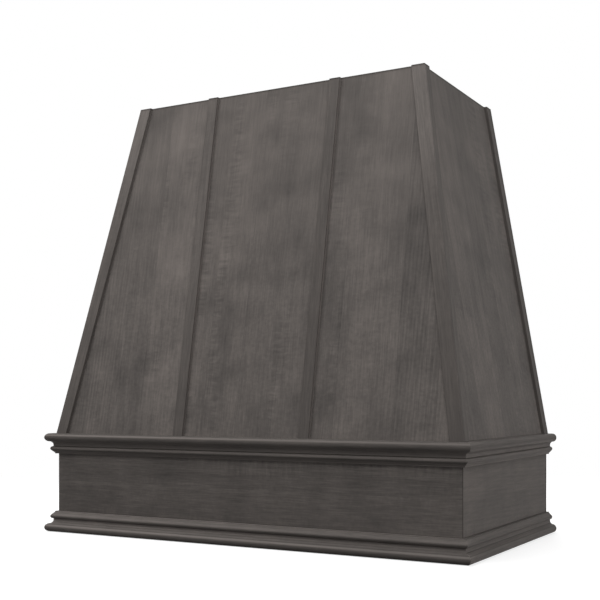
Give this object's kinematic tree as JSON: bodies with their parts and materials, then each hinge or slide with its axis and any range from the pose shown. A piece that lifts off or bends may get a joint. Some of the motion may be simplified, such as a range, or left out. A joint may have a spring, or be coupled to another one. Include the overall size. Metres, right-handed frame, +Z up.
{
  "type": "range hood cover",
  "caption": "Wooden wall-mounted range hood cover with a tapered strapped body over a moulded band, open below for a liner, above for a duct and behind to the wall.",
  "frame": {"origin": "on the underside, in the middle of the overall width and depth", "axes": "+Z up, -Y out of the front, +Y into the wall, +X to the right seen from the front"},
  "size_m": [0.958, 0.5178, 0.9144],
  "materials": {
    "stained_veneer": "charcoal stain, satin lacquer",
    "stained_hardwood": "charcoal stain, satin lacquer",
    "bare_plywood": "unfinished",
    "bare_softwood": "unfinished",
    "zinc_steel": "zinc plated"
  },
  "bodies": {
    "root": {"band_front_board": "stained_veneer", "band_left_board": "stained_veneer", "band_right_board": "stained_veneer", "corner_block_back_left": "bare_softwood", "corner_block_back_right": "bare_softwood", "corner_block_front_left": "bare_softwood", "corner_block_front_right": "bare_softwood", "corner_cleat_left": "bare_softwood", "corner_cleat_right": "bare_softwood", "foot_cleat_front": "bare_softwood", "foot_cleat_left": "bare_softwood", "foot_cleat_right": "bare_softwood", "frame_screws": "zinc_steel", "front_corner_strap_left": "stained_hardwood", "front_corner_strap_right": "stained_hardwood", "front_mid_strap_left": "stained_hardwood", "front_mid_strap_right": "stained_hardwood", "front_panel": "stained_veneer", "left_side_panel": "stained_veneer", "liner_ledge_back": "bare_softwood", "liner_ledge_front": "bare_softwood", "liner_ledge_left": "bare_softwood", "liner_ledge_right": "bare_softwood", "lower_trim_front": "stained_hardwood", "lower_trim_left": "stained_hardwood", "lower_trim_right": "stained_hardwood", "lower_wall_rail": "bare_plywood", "right_side_panel": "stained_veneer", "side_front_strap_left": "stained_hardwood", "side_front_strap_right": "stained_hardwood", "side_rear_strap_left": "stained_hardwood", "side_rear_strap_right": "stained_hardwood", "sill_rail_back": "bare_plywood", "sill_rail_front": "bare_plywood", "sill_rail_left": "bare_plywood", "sill_rail_right": "bare_plywood", "sill_screws": "zinc_steel", "top_rail_front": "bare_plywood", "top_rail_left": "bare_plywood", "top_rail_right": "bare_plywood", "upper_trim_front": "stained_hardwood", "upper_trim_left": "stained_hardwood", "upper_trim_right": "stained_hardwood", "upper_wall_rail": "bare_plywood"}
  },
  "joints": []
}
